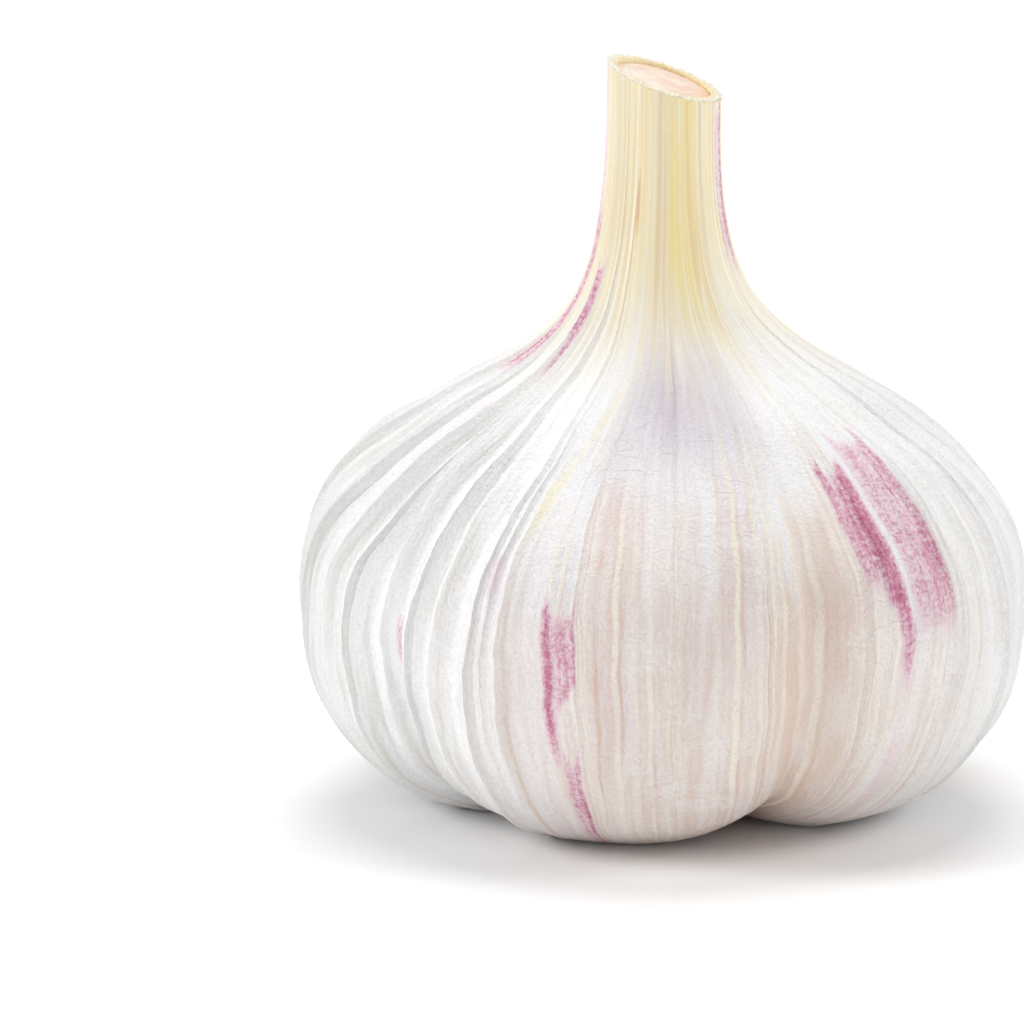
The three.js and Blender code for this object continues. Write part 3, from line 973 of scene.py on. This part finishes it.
# %% Skin relief and sheen
crease = (1 - abs(fibres(46, 2.2) - 0.5).ease(0, 0.02)) * cloud.ease(0.5, 0.62)
height = (0.55 * fine_fibre + 0.6 * mid_fibre) * (1 - slender) + 0.85 * felt * (1 - 0.6 * slender)
height = height + (0.3 * crease + 0.25 * wrinkled) * (1 - slender)
skin.raise_by(height, 0.2, 0.7)
skin.set("Roughness", 0.46 + 0.16 * felt)
skin.wear(papery_skin)

# %% [markdown]
# ## Rim, pith and cork
#
# The other finishes are simpler: a fibrous cream rim whose wall turns ochre going down, a moist pinkish pith
# with faint rings, and brown cork that is pale on its high grains and dark in its pits.

# %% The rim and its fibres
RIM_CREAM = rgb(247, 240, 222)
RIM_TAN = rgb(236, 214, 170)
RIM_WHITE = rgb(252, 249, 242)
RIM_OCHRE = rgb(255, 238, 194)
RIM_SPECK = rgb(205, 160, 110)
FRAY_WHITE = rgb(250, 247, 238)
FRAY_CREAM = rgb(236, 220, 186)

rim = Finish("cut leaf bases", Roughness=0.55, IOR=1.4)
rim_spot = rim.noted("rim_place")
rim_depth = rim.parts(rim_spot)[2]
ring_grain = rim.noise(rim.stretched(rim_spot, (26, 26, 5)), detail=3)
rim_speck = rim.noise(rim.here(), 0.25 * MM, detail=2)
rim_colour = rim.mix(RIM_CREAM, RIM_TAN, rim_depth.ease(0.35, 1.0) * 0.9)
rim_colour = rim.mix(rim_colour, RIM_WHITE, ring_grain.ease(0.5, 0.65) * 0.7)
rim_colour = rim.mix(rim_colour, RIM_OCHRE, rim_depth.ease(0.85, 1.02))
rim_colour = rim.mix(rim_colour, RIM_SPECK, (0.5 - rim_speck).clamped() * 1.2)
rim.set("Base Color", rim_colour)
rim.raise_by(ring_grain + 0.6 * rim_speck, 0.15, 0.7)
rim.set("Subsurface Weight", 0.2)
rim.set("Subsurface Radius", (1.0, 0.7, 0.4))
rim.set("Subsurface Scale", 0.0015)
rim.wear(cut_rim)

fray = Finish("frayed leaf fibre", Roughness=0.6, IOR=1.4)
fray_patches = fray.noise(fray.here(), 0.8 * MM).ease(0.4, 0.7)
fray.set("Base Color", fray.mix(FRAY_WHITE, FRAY_CREAM, fray_patches))
fray.wear(frayed_fibres)

# %% The pith of the stalk
PITH_PALE = rgb(242, 227, 209)
PITH_PINK = rgb(237, 209, 189)
PITH_RING = rgb(250, 240, 226)
PITH_DRY = rgb(232, 184, 140)
PITH_LOW = rgb(242, 204, 170)

pith = Finish("cut pith", Roughness=0.5, IOR=1.4)
pith_spot = pith.noted("stalk_place")
pith_x, _, pith_share = pith.parts(pith_spot)
drift = pith.noise(pith.stretched(pith_spot, (1.6, 1.6, 0.4)), detail=3)
rings = pith.noise(pith.stretched(pith_spot, (1.2, 1.2, 9)), detail=3)
pith_colour = pith.mix(PITH_PALE, PITH_PINK, drift.ease(0.38, 0.62))
pith_colour = pith.mix(pith_colour, PITH_RING, rings.ease(0.5, 0.7) * 0.7)
dried_edge = pith_share.ease(0.78, 1.0) * drift.ease(0.35, 0.6)
pith_colour = pith.mix(pith_colour, PITH_DRY, dried_edge * 0.8)
low_side = (pith_x - 0.25).ease(0.1, 0.75)
pith_colour = pith.mix(pith_colour, PITH_LOW, low_side * 0.35)
pith.set("Base Color", pith_colour)
pith.set("Roughness", 0.42 + 0.2 * rings)
pith.raise_by(rings + 0.5 * pith.noise(pith.here(), 0.3 * MM, detail=3), 0.1, 0.6)
pith.set("Subsurface Weight", 0.25)
pith.set("Subsurface Radius", (1.0, 0.6, 0.4))
pith.set("Subsurface Scale", 0.0015)
pith.wear(stalk_end)

# %% Cork, stubs and fibrils
CORK_TAN = rgb(214, 172, 126)
CORK_BROWN = rgb(180, 128, 80)
CORK_GRAIN = rgb(236, 204, 164)
CORK_PIT = rgb(120, 76, 42)
CORK_EDGE = rgb(152, 104, 62)
STUB_BROWN = rgb(172, 122, 74)
STUB_TAN = rgb(206, 164, 112)
STUB_CUT = rgb(232, 208, 170)
STUB_DIRT = rgb(112, 70, 38)
FIBRIL_PALE = rgb(240, 228, 206)
FIBRIL_TAN = rgb(206, 176, 138)

cork = Finish("root cork", Roughness=0.88, IOR=1.4)
cork_radial, cork_pits, _ = cork.parts(cork.noted("cork_place"))
grit = cork.noise(cork.here(), 0.35 * MM, detail=4, rough=0.65)
blotch = cork.noise(cork.here(), 2.2 * MM, detail=3)
cork_colour = cork.mix(CORK_TAN, CORK_BROWN, blotch.ease(0.38, 0.62))
cork_colour = cork.mix(cork_colour, CORK_GRAIN, grit.ease(0.52, 0.68) * 0.7)
in_pits = (cork_pits * 0.8 + 0.9 * (0.55 - grit)).ease(0.05, 0.5)
cork_colour = cork.mix(cork_colour, CORK_PIT, in_pits * 0.7)
cork_colour = cork.mix(cork_colour, CORK_EDGE, cork_radial.ease(0.82, 1.0) * 0.6)
cork.set("Base Color", cork_colour)
cork.raise_by(grit + 0.5 * blotch, 0.25, 0.9)
cork.wear(root_cork)

stub = Finish("root stub", Roughness=0.85, IOR=1.4)
stub_along, stub_tone, _ = stub.parts(stub.noted("stub_place"))
stub_grit = stub.noise(stub.here(), 0.3 * MM, detail=3)
stub_colour = stub.mix(STUB_BROWN, STUB_TAN, stub_tone)
cut_end = (stub_along + 0.5 * stub_grit).ease(0.85, 1.25)
stub_colour = stub.mix(stub_colour, STUB_CUT, cut_end * 0.85)
stub_colour = stub.mix(stub_colour, STUB_DIRT, (0.52 - stub_grit).ease(0, 0.2) * 0.6)
stub.set("Base Color", stub_colour)
stub.raise_by(stub_grit, 0.12, 0.8)
stub.wear(root_stubs)

fibril = Finish("root fibril", Roughness=0.7, IOR=1.4)
fibril_patches = fibril.noise(fibril.here(), 3 * MM).ease(0.4, 0.65)
fibril.set("Base Color", fibril.mix(FIBRIL_PALE, FIBRIL_TAN, fibril_patches))
fibril.wear(root_fibrils)

# %% [markdown]
# ## Floor, light and camera
#
# A white vegetable on a white ground needs light from all round, so the world itself is the fill. Two large
# soft lamps at the sides, the left one the stronger, rake along the pleats and give them a bright and a dim
# side. One overhead whitens the floor, and a weak one in front opens the shadows. The camera stands more than
# half a metre away with a long lens, a little above the bulb, so that neck and cloves keep their true sizes.

# %% Floor and light
FLOOR_REACH = 3.0  # metres, from the middle to each side
floor_corners = [(x * FLOOR_REACH, y * FLOOR_REACH, 0) for x, y in [(-1, -1), (1, -1), (1, 1), (-1, 1)]]
floor_mesh = bpy.data.meshes.new("floor")
floor_mesh.from_pydata(floor_corners, [], [(0, 1, 2, 3)])
floor = bpy.data.objects.new("floor", floor_mesh)
bpy.context.scene.collection.objects.link(floor)
ground = Finish("pale ground", Roughness=0.8)
ground.set("Specular IOR Level", 0.1)
ground.set("Base Color", rgb(250, 250, 250))
ground.wear(floor)

world = bpy.data.worlds.new("studio")
bpy.context.scene.world = world
world.use_nodes = True
world.node_tree.nodes["Background"].inputs["Color"].default_value = (0.99, 0.995, 1.0, 1.0)
world.node_tree.nodes["Background"].inputs["Strength"].default_value = 0.4


BULB_MIDDLE = Vector((0, 0, 0.03))


def lamp(name, place, size, power):
    """A round soft lamp aimed at the bulb, with its place and width in metres and its power in watts."""
    light = bpy.data.lights.new(name, "AREA")
    light.shape, light.size, light.energy = "DISK", size, power
    thing = bpy.data.objects.new(name, light)
    thing.location = place
    thing.rotation_euler = (BULB_MIDDLE - Vector(place)).to_track_quat("-Z", "Y").to_euler()
    bpy.context.scene.collection.objects.link(thing)
    print(name, "at", place, "of", power, "W")


lamp("left_box", (-2.4, -0.35, 1.4), 1.2, 33.5)
lamp("right_box", (2.3, -0.1, 1.6), 1.4, 24)
lamp("top_box", (0.0, 0.9, 2.8), 1.8, 42)
lamp("front_box", (0.3, -2.6, 1.0), 1.8, 5)

# %% Camera
ELEVATION = math.radians(11)
CAMERA_DISTANCE = 550.0  # mm, from the bulb's axis
AIM_HEIGHT = 33.0
PICTURE_WIDTH = 1024
PIXELS_PER_MM = 11.06  # at the axis
AXIS_RIGHT = 150 / PIXELS_PER_MM  # where the picture shows the axis, from its own middle
AIM_UP = 75 / PIXELS_PER_MM
SENSOR = 36.0

aim = np.array([AXIS[0], AXIS[1], AIM_HEIGHT])
back = np.array([0, -math.cos(ELEVATION), math.sin(ELEVATION)])
up_way = np.array([0, math.sin(ELEVATION), math.cos(ELEVATION)])
camera_place = aim + back * CAMERA_DISTANCE
look_at = aim - np.array([AXIS_RIGHT, 0, 0]) - up_way * AIM_UP
camera_data = bpy.data.cameras.new("camera")
camera_data.sensor_width = SENSOR
camera_data.lens = SENSOR * PIXELS_PER_MM * CAMERA_DISTANCE / PICTURE_WIDTH
camera_data.clip_start, camera_data.clip_end = 0.01, 20
camera = bpy.data.objects.new("camera", camera_data)
camera.location = Vector(camera_place * MM)
camera.rotation_euler = Vector(look_at - camera_place).to_track_quat("-Z", "Y").to_euler()
bpy.context.scene.collection.objects.link(camera)
bpy.context.scene.camera = camera
bpy.context.scene.view_settings.view_transform = "Standard"
print(f"camera: {camera_data.lens:.0f} mm lens, {CAMERA_DISTANCE:.0f} mm from the bulb")
